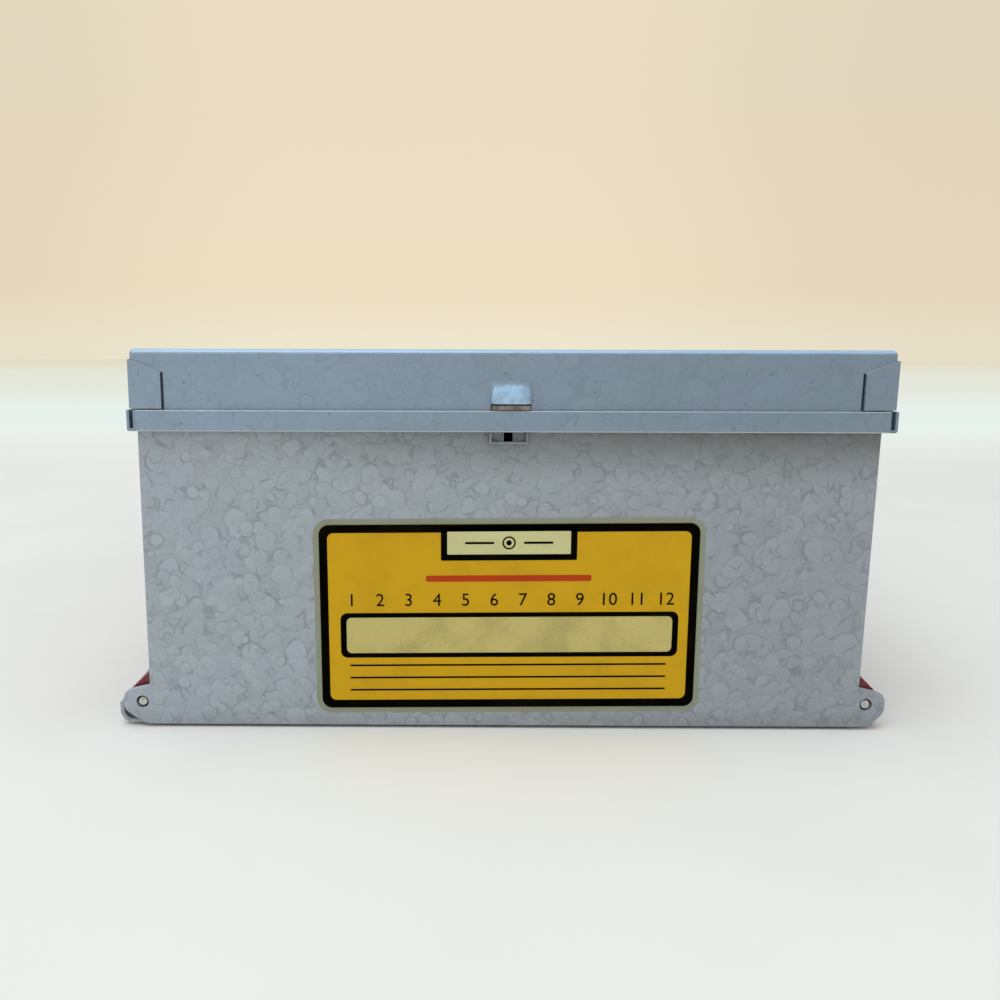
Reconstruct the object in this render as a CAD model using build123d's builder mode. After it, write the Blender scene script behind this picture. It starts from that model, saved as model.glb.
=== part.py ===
from build123d import *
from math import acos, asin, cos, degrees, radians, sin
import os

# Steel file for slides in square mounts. Two rows of tilting compartments
# stand side by side under one hinged lid. Their outer walls are the sides
# of the box, and they swing out on two long rods at its lower edges.
# Millimetres, +Z up. The front, with the label, faces -Y. The origin is
# the middle of the underside of the box that holds the whole object.

# Slides and compartments
SLIDE = 50.8
SLIDE_PLAY = 2.2
COMPARTMENTS_PER_ROW = 6
COMPARTMENT_LENGTH = 28.6
COMPARTMENT_GAP = 0.4
COMPARTMENT_SHEET = 0.5
CENTRE_GAP = 6.0
FLOOR_GAP = 0.3
WALL_HEM = 3.0
WALL_TOP_GAP = 0.8
ARC_DROP = 2.1
SLOPE_CLEARANCE = 0.3
COMPARTMENT_SWING = 60.0
GUSSET_SLOPE = 45.0
GUSSET_REACH = 2.65
SWING_MARGIN = 1.5
STOP_MARGIN = 1.5
BLOCK_GAP = 0.5
BLOCK_INSET = 0.2
BLOCK_HOLE = 1.2

# Case
OVERALL_HEIGHT = 60.5
FLOOR_DROP = 0.4
FLOOR_INSET = 1.0
FLOOR_SETBACK = 3.0
SHEET = 0.6
FRONT_ROOM = 3.6
REAR_ROOM = 2.0
PANEL_FOOT = 0.45
PANEL_TOP_GAP = 0.9
PANEL_HEM = 3.5
FLANGE_DEPTH = 1.2
FLANGE_GAP = 2.4
EDGE_ROUND = 0.25
PAN_GAP = 0.2
PAN_LIP = 4.0
PAN_LIP_INSET = 3.0

# Rods, and the ears and curls round them
ROD_RADIUS = 0.75
ROD_OUTSET = 1.25
ROD_CLEARANCE = 0.05
ROD_RECESS = 0.15
ROD_END_ROUND = 0.2
ROD_HEAD = 0.45
ROD_HEAD_RADIUS = 1.25
EAR_REACH = 3.1
EAR_RISE = 3.1
EAR_SLOPE_DROP = 1.3
EAR_ROOT = 1.0
EAR_CORNER_RISE = 2.45
LEFT_CORNER_REACH = -0.4
RIGHT_CORNER_REACH = 0.7
EAR_ROUND = 1.9
FRONT_EAR_HOLE = 1.0
CURL_REACH = 3.9
CURL_BEND = 2.1
CURL_NOTCH = 17.0
CURL_NOTCH_DROP = 0.5

# Lid, which sits a little to one side in its clearance
LID_SHEET = 0.4
LID_SKIRT = 12.4
LID_CLEARANCE = 0.4
LID_SHIFT = 0.3
BEND_RADIUS = 0.9
SIDE_BEND_RADIUS = 0.5
HEM_HEIGHT = 3.25
HEM_GAP = 0.2
SIDE_HEM_GAP = 0.4
HEM_ROUND = 0.35
HEM_EDGE_ROUND = 0.18
HEM_INSET = 0.75
TAB_WIDTH = 4.7
TAB_GAP = 0.2
TAB_BULGE = 0.25
TAB_WRAP = 1.2
TAB_GROOVE = 0.35
TAB_GROOVE_DEPTH = 0.25
TAB_OUTER_HEIGHT = 7.4
TAB_INNER_HEIGHT = 5.7
TAB_CORNER = 0.7
TAB_ROUND = 0.3
CARD_THICKNESS = 0.25
CARD_MARGIN = 4.0
CARD_ROUND = 2.0

# Rear hinge
HINGE_LENGTH = 100.0
KNUCKLES = 9
KNUCKLE_GAP = 0.3
KNUCKLE_RADIUS = 1.45
HINGE_PIN_RADIUS = 0.8
HINGE_CLEARANCE = 0.05
HINGE_OUTSET = 0.9
HINGE_RISE = 0.3
HINGE_RELIEF = 1.75
REAR_TOP_GAP = 0.3
PIN_CHAMFER = 0.2

# Catch: a nose in the louvre of the lid, and a lug of the front panel under the lid
CATCH_OFFSET = 0.2
CATCH_SHEET = 0.5
CATCH_WIDTH = 8.0
CATCH_MARGIN = 0.8
CATCH_SLOT_GAP = 0.15
NOSE_WIDTH = 5.8
NOSE_REACH = 1.35
NOSE_ROOT = 1.1
NOSE_TIP = 0.7
NOSE_GAP = 0.1
LUG_OFFSET = -0.05
LUG_WIDTH = 6.0
LUG_REACH = 1.1
LUG_HEIGHT = 1.75
LUG_WALL = 0.35
LUG_GAP = 0.1
LUG_ROUND = 0.3
LUG_EDGE_ROUND = 0.15
LUG_SLOT = 1.4
LOUVRE_WIDTH = 6.2
LOUVRE_HEIGHT = 3.4
LOUVRE_SLIT = 1.05
LOUVRE_REACH = 1.2
LOUVRE_SHEET = 0.3
LOUVRE_MARGIN = 0.05

# Labels
LABEL_WIDTH = 59.5
LABEL_HEIGHT = 30.0
LABEL_ROUND = 1.6
LABEL_CENTRE_X = 0.5
LABEL_CENTRE_Z = 18.75
LABEL_TILT = 0.55
LABEL_THICKNESS = 0.12
NUMBER_LABEL_WIDTH = 10.0
NUMBER_LABEL_HEIGHT = 8.0
NUMBER_LABEL_Z = 30.0
NUMBER_LABEL_ROUND = 1.0
NUMBER_LABEL_THICKNESS = 0.1

# Widths, worked out from the middle outwards
cell_width = SLIDE + SLIDE_PLAY
inner_x = CENTRE_GAP / 2
body_half = inner_x + cell_width + 2 * COMPARTMENT_SHEET
rod_x = body_half + ROD_OUTSET
lid_half = body_half + LID_CLEARANCE + LID_SHEET

# Depths: outer faces of the front and rear panels, then what hangs on them
row_length = COMPARTMENTS_PER_ROW * (COMPARTMENT_LENGTH + COMPARTMENT_GAP) - COMPARTMENT_GAP
body_depth = 2 * SHEET + FRONT_ROOM + row_length + REAR_ROOM
front_reach = LID_CLEARANCE + LID_SHEET + LOUVRE_REACH
rear_reach = HINGE_OUTSET + KNUCKLE_RADIUS
front_y = -(body_depth + rear_reach - front_reach) / 2
rear_y = front_y + body_depth
row_y = front_y + SHEET + FRONT_ROOM
pan_front = front_y + SHEET + PAN_GAP
pan_rear = rear_y - SHEET
lid_front = front_y - LID_CLEARANCE - LID_SHEET
hinge_y = rear_y + HINGE_OUTSET

# Heights
rim_z = FLOOR_DROP
rod_z = rim_z + CURL_REACH
curl_inner = CURL_REACH - SHEET
compartment_foot = rim_z + SHEET + FLOOR_GAP
lug_radius = rod_z - compartment_foot
lid_foot = OVERALL_HEIGHT - LID_SKIRT
hinge_z = lid_foot + HINGE_RISE
panel_top = OVERALL_HEIGHT - LID_SHEET - PANEL_TOP_GAP
rear_top = lid_foot - REAR_TOP_GAP
wall_top = lid_foot - WALL_TOP_GAP
arc_radius = wall_top - ARC_DROP - rod_z
flange_foot = rod_z + EAR_RISE + FLANGE_GAP
hem_top = lid_foot + HEM_HEIGHT
lug_top = lid_foot - LUG_GAP
hood_foot = hem_top + LOUVRE_SLIT
nose_foot = hem_top + NOSE_GAP

# The top of an end plate runs from its arc straight down to the inner lip.
# This slope stays below the lid's edge while it swings out past it.
slope_reach = lid_foot - rod_z - SLOPE_CLEARANCE
slope_turn = radians(COMPARTMENT_SWING + SWING_MARGIN) - acos(arc_radius / slope_reach)
slope_run = (rod_x - inner_x) * sin(slope_turn)
lip_top = rod_z + (arc_radius - slope_run) / cos(slope_turn)

# The lug of an end plate runs from an arc round the rod up a gusset to the wall
lug_start = GUSSET_SLOPE - degrees(acos(GUSSET_REACH / lug_radius))
slope = radians(GUSSET_SLOPE)
gusset_top = rod_z + (GUSSET_REACH + ROD_OUTSET * cos(slope)) / sin(slope)

# The curl ends where the gusset meets it at the end of the swing
stop_turn = radians(COMPARTMENT_SWING + STOP_MARGIN - GUSSET_SLOPE)
curl_top = rod_z + (curl_inner * cos(stop_turn) - GUSSET_REACH) / sin(stop_turn)


def across(y):
    """Upright plane across the box at depth y. An extrusion of -1 goes 1 mm to the rear."""
    return Plane.XZ.offset(-y)


def about_rod(side, radius, angle):
    """Point at this radius from a rod. The angle rises from the outboard side."""
    turn = radians(angle)
    return (side * (rod_x + radius * cos(turn)), rod_z + radius * sin(turn))


def draw_panel(top, hole_radius):
    """End panel of the case, with an ear round each rod, on the sketch plane in use."""
    with Locations((0, (PANEL_FOOT + top) / 2)):
        Rectangle(2 * body_half, top - PANEL_FOOT)
    ear_top = rod_z + EAR_RISE
    for side, corner_reach in ((-1, LEFT_CORNER_REACH), (1, RIGHT_CORNER_REACH)):
        root_x = side * (body_half - EAR_ROOT)
        tip_x = side * (rod_x + EAR_REACH)
        with BuildLine() as outline:
            FilletPolyline(
                (root_x, ear_top),
                (tip_x, ear_top - EAR_SLOPE_DROP),
                (tip_x, PANEL_FOOT + EAR_CORNER_RISE),
                (side * (rod_x + corner_reach), PANEL_FOOT),
                (root_x, PANEL_FOOT),
                radius=EAR_ROUND,
            )
            Line((root_x, PANEL_FOOT), (root_x, ear_top))
        make_face(outline.edges())
    with Locations((rod_x, rod_z), (-rod_x, rod_z)):
        Circle(hole_radius, mode=Mode.SUBTRACT)


def add_flanges(y, top):
    """Return flanges of an end panel, from y to the rear of y."""
    height = top - flange_foot
    x = body_half - SHEET / 2
    places = [(side * x, y + FLANGE_DEPTH / 2, flange_foot + height / 2) for side in (-1, 1)]
    with Locations(*places):
        Box(SHEET, FLANGE_DEPTH, height)


def knuckle_spans(first):
    """Low and high x of every second knuckle, from the one numbered first."""
    length = (HINGE_LENGTH + KNUCKLE_GAP) / KNUCKLES
    starts = [-HINGE_LENGTH / 2 + index * length for index in range(first, KNUCKLES, 2)]
    return [(start, start + length - KNUCKLE_GAP) for start in starts]


def add_knuckles(spans):
    """Rolled tubes round the hinge axis."""
    tubes = ((KNUCKLE_RADIUS, Mode.ADD), (HINGE_PIN_RADIUS + HINGE_CLEARANCE, Mode.SUBTRACT))
    for radius, mode in tubes:
        for low, high in spans:
            with Locations(((low + high) / 2, hinge_y, hinge_z)):
                Cylinder(radius, high - low, rotation=(0, 90, 0), mode=mode)


def cut_reliefs(spans, low_z, high_z):
    """Room in a rear sheet for the other leaf's knuckles."""
    for low, high in spans:
        with Locations(((low + high) / 2, rear_y - SHEET / 2, (low_z + high_z) / 2)):
            Box(high - low + 2 * KNUCKLE_GAP, 2 * SHEET, high_z - low_z, mode=Mode.SUBTRACT)


# Base pan, with its side edges curled up round the rods
pan_length = pan_rear - pan_front
pan_mid = (pan_rear + pan_front) / 2
curl_outer_x = rod_x + CURL_REACH
curl_inner_x = rod_x + curl_inner
with BuildPart() as base_pan:
    with BuildSketch(across(pan_front)):
        with BuildLine():
            FilletPolyline(
                (rod_x, rim_z),
                (curl_outer_x, rim_z),
                (curl_outer_x, curl_top),
                radius=CURL_BEND,
            )
            FilletPolyline(
                (rod_x, rim_z + SHEET),
                (curl_inner_x, rim_z + SHEET),
                (curl_inner_x, curl_top),
                radius=CURL_BEND - SHEET,
            )
            Line((rod_x, rim_z), (rod_x, rim_z + SHEET))
            Line((curl_outer_x, curl_top), (curl_inner_x, curl_top))
        make_face()
        mirror(about=Plane.YZ)
        with Locations((0, rim_z + SHEET / 2)):
            Rectangle(2 * rod_x, SHEET)
    extrude(amount=-pan_length)
    with Locations((0, pan_mid, SHEET / 2)):
        Box(2 * (body_half - FLOOR_INSET), pan_length - 2 * FLOOR_SETBACK, SHEET)

    # The curls are cut down at the front, and the right one is left out beside the ear
    for side, drop, depth in (
        (-1, CURL_NOTCH_DROP, CURL_NOTCH),
        (1, CURL_NOTCH_DROP, CURL_NOTCH),
        (1, CURL_REACH, row_y - pan_front),
    ):
        notch_x = side * (rod_x + CURL_REACH / 2)
        with Locations((notch_x, pan_front + depth / 2, rod_z - drop + CURL_REACH)):
            Box(CURL_REACH, depth, 2 * CURL_REACH, mode=Mode.SUBTRACT)
    for lip_y in (pan_front + SHEET / 2, pan_rear - SHEET / 2):
        with Locations((0, lip_y, (rim_z + PAN_LIP) / 2)):
            Box(2 * (body_half - PAN_LIP_INSET), SHEET, PAN_LIP - rim_z)
base_pan.part.label = "base_pan"

# Rear panel, with its share of the hinge
body_knuckles = knuckle_spans(0)
lid_knuckles = knuckle_spans(1)
with BuildPart() as rear_panel:
    with BuildSketch(across(rear_y)):
        draw_panel(rear_top, ROD_RADIUS + ROD_CLEARANCE)
    extrude(amount=SHEET)
    add_flanges(rear_y - SHEET - FLANGE_DEPTH, rear_top)
    for low, high in body_knuckles:
        with Locations(((low + high) / 2, rear_y - SHEET / 2, (rear_top + hinge_z) / 2)):
            Box(high - low, SHEET, hinge_z - rear_top)
    cut_reliefs(lid_knuckles, hinge_z - HINGE_RELIEF, hinge_z)
    add_knuckles(body_knuckles)
rear_panel.part.label = "rear_panel"

# Front panel, with a slot for the nose of the catch and a cupped lug pressed out of it
lug_x = LUG_OFFSET
lug_mid = lug_top - LUG_HEIGHT / 2
with BuildPart() as front_panel:
    with BuildSketch(across(front_y)):
        draw_panel(panel_top, FRONT_EAR_HOLE)
        with Locations((CATCH_OFFSET, nose_foot + NOSE_ROOT / 2)):
            nose_slot = NOSE_ROOT + 2 * CATCH_SLOT_GAP
            Rectangle(NOSE_WIDTH + 2 * CATCH_SLOT_GAP, nose_slot, mode=Mode.SUBTRACT)
    extrude(amount=-SHEET)
    add_flanges(front_y + SHEET, panel_top)
    with Locations((0, front_y + 1.5 * SHEET, panel_top - PANEL_HEM / 2)):
        Box(2 * (body_half - SHEET), SHEET, PANEL_HEM)
    front_rim = front_panel.faces().sort_by(Axis.Y)[0].outer_wire().edges()
    fillet(front_rim, EDGE_ROUND)
    with Locations((lug_x, front_y - LUG_REACH / 2, lug_mid)):
        Box(LUG_WIDTH, LUG_REACH, LUG_HEIGHT)
    lug_face = front_panel.faces().sort_by(Axis.Y)[0]
    fillet(lug_face.edges().filter_by(Axis.Z), LUG_ROUND)
    lug_face = front_panel.faces().sort_by(Axis.Y)[0]
    fillet(lug_face.edges().sort_by(Axis.Z)[0], LUG_EDGE_ROUND)
    with Locations((lug_x, front_y - LUG_REACH, lug_mid + LUG_WALL)):
        Box(LUG_WIDTH - 2 * LUG_WALL, 2 * LUG_REACH, LUG_HEIGHT, mode=Mode.SUBTRACT)
    with Locations((lug_x, front_y, lug_mid + LUG_WALL / 2)):
        Box(LUG_SLOT, 2 * LUG_REACH, LUG_HEIGHT - LUG_WALL, mode=Mode.SUBTRACT)
front_panel.part.label = "front_panel"

# Catch plate behind the front panel, with the nose
catch_back = front_y + SHEET
catch_height = NOSE_ROOT + 2 * CATCH_MARGIN
with BuildPart() as catch_plate:
    with Locations((CATCH_OFFSET, catch_back + CATCH_SHEET / 2, nose_foot + NOSE_ROOT / 2)):
        Box(CATCH_WIDTH, CATCH_SHEET, catch_height)
    with BuildSketch(Plane.YZ.offset(CATCH_OFFSET)):
        with BuildLine():
            Polyline(
                (catch_back, nose_foot),
                (front_y - NOSE_REACH, nose_foot),
                (front_y - NOSE_REACH, nose_foot + NOSE_TIP),
                (catch_back, nose_foot + NOSE_ROOT),
                close=True,
            )
        make_face()
    extrude(amount=NOSE_WIDTH / 2, both=True)
catch_plate.part.label = "catch_plate"


def make_hem(length, gap):
    """Edge of the lid folded outwards and up, this gap off the skirt's face at y = 0."""
    hem_out = gap + LID_SHEET
    with BuildPart() as hem:
        with BuildSketch(Plane.YZ) as profile:
            with BuildLine():
                Polyline(
                    (LID_SHEET, 0),
                    (-hem_out, 0),
                    (-hem_out, HEM_HEIGHT),
                    (-gap, HEM_HEIGHT),
                    (-gap, LID_SHEET),
                    (LID_SHEET, LID_SHEET),
                    close=True,
                )
            make_face()
            outer = profile.vertices().group_by(Axis.X)[0].sort_by(Axis.Y)
            fillet(outer[-1], HEM_EDGE_ROUND)
            outer = profile.vertices().group_by(Axis.X)[0].sort_by(Axis.Y)
            fillet(outer[0], HEM_ROUND)
        extrude(amount=length / 2, both=True)
    return hem.part


def make_hood(inset):
    """Hood of the louvre: its outside, or what is hollow in it when inset by the sheet."""
    half = LOUVRE_WIDTH / 2 - inset
    reach = LOUVRE_REACH - inset
    height = LOUVRE_HEIGHT - inset
    with BuildPart() as hood:
        for rise, depth in ((0, 1), (0.35, 0.74), (0.7, 0.38), (1, 0.03)):
            with BuildSketch(Plane.XY.offset(rise * height)):
                with BuildLine():
                    steps = [index / 6 for index in range(-6, 7)]
                    bulge = Spline([(half * x, -reach * depth * (1 - x**4) ** 0.5) for x in steps])
                    Polyline(bulge @ 0, (-half, LID_SHEET), (half, LID_SHEET), bulge @ 1)
                make_face()
        loft()
    return hood.part.moved(Location((CATCH_OFFSET, lid_front, hood_foot)))


# Lid: a folded tray with its lower edge hemmed outwards at the front and sides
lid_depth = rear_y - lid_front
lid_mid = (rear_y + lid_front) / 2
lid_left = LID_SHIFT - lid_half
lid_right = LID_SHIFT + lid_half
tab_foot = hem_top + TAB_GAP
with BuildPart() as lid_shell:
    with BuildSketch(Plane.XY.offset(lid_foot)):
        with Locations((LID_SHIFT, lid_mid)):
            Rectangle(2 * lid_half, lid_depth)
    extrude(amount=LID_SKIRT)
    fillet(lid_shell.faces().sort_by(Axis.Z)[-1].edges().filter_by(Axis.X), BEND_RADIUS)
    fillet(lid_shell.faces().sort_by(Axis.Z)[-1].edges().filter_by(Axis.Y), SIDE_BEND_RADIUS)
    offset(amount=-LID_SHEET, openings=lid_shell.faces().sort_by(Axis.Z)[0])

    front_hem = make_hem(2 * (lid_half - HEM_INSET), HEM_GAP)
    side_hem = make_hem(lid_depth, SIDE_HEM_GAP)
    add(front_hem.moved(Location((LID_SHIFT, lid_front, lid_foot))))
    add(side_hem.moved(Location((lid_left, lid_mid, lid_foot), (0, 0, -90))))
    add(side_hem.moved(Location((lid_right, lid_mid, lid_foot), (0, 0, 90))))

    # Tabs of the side skirts, wrapped over the front and rear skirts beside a groove
    for edge_x, side in ((lid_left, -1), (lid_right, 1)):
        outer_edge = edge_x + side * TAB_BULGE
        inner_edge = edge_x - side * TAB_WIDTH
        groove_x = inner_edge - side * TAB_GROOVE / 2
        wrap_x = edge_x + side * TAB_BULGE / 2
        for tab_y, away in ((lid_front, -1), (rear_y, 1)):
            with BuildSketch(across(tab_y)):
                with BuildLine():
                    Polyline(
                        (outer_edge, tab_foot),
                        (inner_edge, tab_foot),
                        (inner_edge, tab_foot + TAB_INNER_HEIGHT - TAB_CORNER / 2),
                        (inner_edge + side * TAB_CORNER, tab_foot + TAB_INNER_HEIGHT + TAB_CORNER / 3),
                        (outer_edge, tab_foot + TAB_OUTER_HEIGHT),
                        close=True,
                    )
                make_face()
            extrude(amount=-away * LID_SHEET)
            with Locations((wrap_x, tab_y - away * TAB_WRAP / 2, tab_foot + TAB_OUTER_HEIGHT / 2)):
                Box(TAB_BULGE, TAB_WRAP, TAB_OUTER_HEIGHT)
            with Locations((groove_x, tab_y, hem_top + TAB_INNER_HEIGHT / 2)):
                Box(TAB_GROOVE, 2 * TAB_GROOVE_DEPTH, TAB_INNER_HEIGHT, mode=Mode.SUBTRACT)
            with Locations(((outer_edge + inner_edge) / 2, tab_y, hem_top + TAB_GAP / 2)):
                Box(TAB_WIDTH + TAB_BULGE, 2 * TAB_GROOVE_DEPTH, TAB_GAP, mode=Mode.SUBTRACT)
            corners = [
                edge
                for edge in lid_shell.edges().filter_by(Axis.Z)
                if abs(edge.center().Y - tab_y - away * LID_SHEET) < TAB_GROOVE_DEPTH / 2
                and abs(edge.center().X - outer_edge) < TAB_BULGE / 2
            ]
            fillet(corners, TAB_ROUND)

    # Louvre: a hood pressed out of the front skirt, with a slit between it and the hem
    add(make_hood(0))
    add(make_hood(LOUVRE_SHEET), mode=Mode.SUBTRACT)
    with Locations((CATCH_OFFSET, lid_front, (hem_top + hood_foot) / 2)):
        Box(LOUVRE_WIDTH - 2 * LOUVRE_MARGIN, 2 * LID_SHEET, LOUVRE_SLIT, mode=Mode.SUBTRACT)

    cut_reliefs(body_knuckles, lid_foot, hinge_z + HINGE_RELIEF)
    add_knuckles(lid_knuckles)
lid_shell.part.label = "lid_shell"

# Index card under the lid
with BuildPart() as index_card:
    with BuildSketch(Plane.XY.offset(OVERALL_HEIGHT - LID_SHEET)):
        with Locations((LID_SHIFT, lid_mid)):
            card_edge = LID_SHEET + CARD_MARGIN
            RectangleRounded(2 * (lid_half - card_edge), lid_depth - 2 * card_edge, CARD_ROUND)
    extrude(amount=-CARD_THICKNESS)
index_card.part.label = "index_card"

# Pin of the rear hinge
pin_half = HINGE_LENGTH / 2 + KNUCKLE_GAP
with BuildPart() as hinge_pin:
    with BuildSketch(Plane.YZ):
        with Locations((hinge_y, hinge_z)):
            Circle(HINGE_PIN_RADIUS)
    extrude(amount=pin_half, both=True)
    chamfer(hinge_pin.edges().filter_by(GeomType.CIRCLE), PIN_CHAMFER)
hinge_pin.part.label = "hinge_pin"


def make_rod(side):
    """Long rod that a row of compartments swings on, headed at the rear."""
    rod_front = front_y + ROD_RECESS
    with BuildPart() as rod:
        with BuildSketch(across(rod_front)):
            with Locations((side * rod_x, rod_z)):
                Circle(ROD_RADIUS)
        extrude(amount=rod_front - rear_y)
        fillet(rod.faces().sort_by(Axis.Y)[0].edges(), ROD_END_ROUND)
        with BuildSketch(across(rear_y)):
            with Locations((side * rod_x, rod_z)):
                Circle(ROD_HEAD_RADIUS)
        extrude(amount=-ROD_HEAD)
        fillet(rod.faces().sort_by(Axis.Y)[-1].edges(), ROD_END_ROUND)
    return rod.part


def draw_lug(side, hole_radius):
    """Lug outside the wall of a compartment, or its block, with a hole for the rod."""
    wall_x = side * body_half
    with BuildLine() as outline:
        lug = ThreePointArc(
            about_rod(side, lug_radius, lug_start),
            about_rod(side, lug_radius, (lug_start - 90) / 2),
            about_rod(side, lug_radius, -90),
        )
        Polyline(lug @ 1, (wall_x, compartment_foot), (wall_x, gusset_top), lug @ 0)
    make_face(outline.edges())
    with Locations((side * rod_x, rod_z)):
        Circle(hole_radius, mode=Mode.SUBTRACT)


def draw_end_plate(side):
    """Quarter-round end plate of a compartment, with its lug."""
    arc_start = 90 + degrees(asin(ROD_OUTSET / arc_radius))
    arc_stop = 90 + degrees(slope_turn)
    lip_x = side * inner_x
    with BuildLine() as outline:
        top = ThreePointArc(
            about_rod(side, arc_radius, arc_start),
            about_rod(side, arc_radius, (arc_start + arc_stop) / 2),
            about_rod(side, arc_radius, arc_stop),
        )
        Polyline(
            top @ 1,
            (lip_x, lip_top),
            (lip_x, compartment_foot),
            (side * body_half, compartment_foot),
            top @ 0,
        )
    make_face(outline.edges())
    draw_lug(side, ROD_RADIUS + ROD_CLEARANCE)


def make_compartment(side, y):
    """Tilting compartment whose front end plate starts at depth y."""
    wall_x = side * (body_half - COMPARTMENT_SHEET / 2)
    lip_x = side * (inner_x + COMPARTMENT_SHEET / 2)
    middle = y + COMPARTMENT_LENGTH / 2
    wall_height = wall_top - compartment_foot
    with BuildPart() as compartment:
        for plate_y in (y, y + COMPARTMENT_LENGTH - COMPARTMENT_SHEET):
            with BuildSketch(across(plate_y)):
                draw_end_plate(side)
            extrude(amount=-COMPARTMENT_SHEET)
        floor_x = side * (inner_x + body_half) / 2
        with Locations((floor_x, middle, compartment_foot + COMPARTMENT_SHEET / 2)):
            Box(body_half - inner_x, COMPARTMENT_LENGTH, COMPARTMENT_SHEET)
        with Locations((wall_x, middle, compartment_foot + wall_height / 2)):
            Box(COMPARTMENT_SHEET, COMPARTMENT_LENGTH, wall_height)
        with Locations((wall_x - side * COMPARTMENT_SHEET, middle, wall_top - WALL_HEM / 2)):
            Box(COMPARTMENT_SHEET, COMPARTMENT_LENGTH, WALL_HEM)
        with Locations((lip_x, middle, (compartment_foot + lip_top) / 2)):
            Box(COMPARTMENT_SHEET, COMPARTMENT_LENGTH, lip_top - compartment_foot)
    return compartment.part


def make_lug_block(side):
    """Block that brings the lug of a row's first compartment forward to the ear."""
    block_front = front_y + SHEET + BLOCK_GAP
    with BuildPart() as block:
        with BuildSketch(across(block_front)):
            draw_lug(side, BLOCK_HOLE)
            with Locations((side * body_half, rod_z)):
                Rectangle(2 * BLOCK_INSET, 2 * gusset_top, mode=Mode.SUBTRACT)
        extrude(amount=block_front - row_y)
    return block.part


def make_number_label(side, y):
    """Paper label on the outer wall of the compartment that starts at depth y."""
    middle = y + COMPARTMENT_LENGTH / 2
    with BuildPart() as label:
        with BuildSketch(Plane.YZ.offset(side * body_half)):
            with Locations((middle, NUMBER_LABEL_Z)):
                RectangleRounded(NUMBER_LABEL_WIDTH, NUMBER_LABEL_HEIGHT, NUMBER_LABEL_ROUND)
        extrude(amount=side * NUMBER_LABEL_THICKNESS)
    return label.part


# Label on the front panel, stuck on a little out of level
with BuildPart() as front_label:
    with BuildSketch(across(front_y)):
        with Locations(Location((LABEL_CENTRE_X, LABEL_CENTRE_Z), LABEL_TILT)):
            RectangleRounded(LABEL_WIDTH, LABEL_HEIGHT, LABEL_ROUND)
    extrude(amount=LABEL_THICKNESS)
front_label.part.label = "front_label"

pieces = {
    "base_pan": base_pan.part,
    "rear_panel": rear_panel.part,
    "front_panel": front_panel.part,
    "catch_plate": catch_plate.part,
    "front_label": front_label.part,
    "lid_shell": lid_shell.part,
    "index_card": index_card.part,
    "hinge_pin": hinge_pin.part,
    "rod_left": make_rod(-1),
    "rod_right": make_rod(1),
}
number = 0
for side in (-1, 1):
    for place in range(COMPARTMENTS_PER_ROW):
        number += 1
        y = row_y + place * (COMPARTMENT_LENGTH + COMPARTMENT_GAP)
        pieces[f"compartment_{number:02d}"] = make_compartment(side, y)
        if place == 0:
            pieces[f"lug_block_{number:02d}"] = make_lug_block(side)
        pieces[f"number_label_{number:02d}"] = make_number_label(side, y)

os.makedirs("parts", exist_ok=True)
for name, piece in pieces.items():
    piece.label = name
    export_step(piece, f"parts/{name}.step")
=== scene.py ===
from math import cos, pi, radians, sin

import bmesh
import bpy
from mathutils import Matrix, Vector


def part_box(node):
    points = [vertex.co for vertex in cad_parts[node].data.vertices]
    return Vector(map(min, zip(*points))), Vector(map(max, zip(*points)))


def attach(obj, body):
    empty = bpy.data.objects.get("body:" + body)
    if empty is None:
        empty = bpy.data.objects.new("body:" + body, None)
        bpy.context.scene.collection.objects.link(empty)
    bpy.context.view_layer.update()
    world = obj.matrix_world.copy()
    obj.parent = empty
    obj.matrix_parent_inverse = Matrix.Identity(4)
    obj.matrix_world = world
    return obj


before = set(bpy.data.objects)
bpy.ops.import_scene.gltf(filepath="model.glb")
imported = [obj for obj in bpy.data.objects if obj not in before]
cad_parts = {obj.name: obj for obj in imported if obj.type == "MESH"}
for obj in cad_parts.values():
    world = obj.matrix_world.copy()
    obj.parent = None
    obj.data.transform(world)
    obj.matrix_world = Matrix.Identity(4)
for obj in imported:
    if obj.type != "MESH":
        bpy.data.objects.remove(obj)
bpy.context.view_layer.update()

MM = 0.001

# The camera of the photograph, worked out from the box's straight edges. It stood left
# of the box's middle, and the shift brings the box back to the middle of the picture.
FOCAL_PIXELS = 890.0
IMAGE_PIXELS = 1000.0
SENSOR = 36.0
CAMERA_X = -13.68 * MM
CAMERA_DISTANCE = 136.2 * MM
CAMERA_HEIGHT = 60.2 * MM
PITCH = radians(9.48)
YAW = radians(0.348)
ROLL = radians(0.135)
SHIFT = 0.0862

# The label's own frame: its tilt on the panel, and its layers
LABEL_TILT = radians(0.55)
LABEL_SIZE = (59.5 * MM, 30.0 * MM)
LABEL_ROUND = 1.6 * MM
FILM_BORDER = 0.9 * MM
FRAME_BORDER = 1.3 * MM
INK = 0.03 * MM

# The rows' sides, left and right, and the compartments in each
ROWS = (-1, 1)
PER_ROW = 6

# Places on the object, in the frame at rest, that the paints keep to
HEM_TOP = 51.5 * MM
TAB_TOP = 59.2 * MM
GROOVE_TOP = 59.3 * MM
GROOVE_REACH = 57.0 * MM
PAN_REACH = 56.0 * MM
PANEL_FOOT = 0.44 * MM
LOUVRE_HALF = 6.0 * MM
TABS_FROM = 40.0 * MM

# Stacked blisters of the hammered enamel: share of the cell, reach in it, and seed
BLISTERS = ((1.2, 0.48, 0.11), (1.0, 0.42, 0.37), (0.8, 0.44, 0.63))
PACKED_SHARE = 0.85

# Colours of the painted sky reflection, of the painted contact shadow and of the pale specks
SKY_REFLECTION_BLUE = (0.42, 0.66, 0.92)
CONTACT_SHADOW = (0.03, 0.022, 0.016)
SPECK_PALE = (0.62, 0.65, 0.68)

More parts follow.
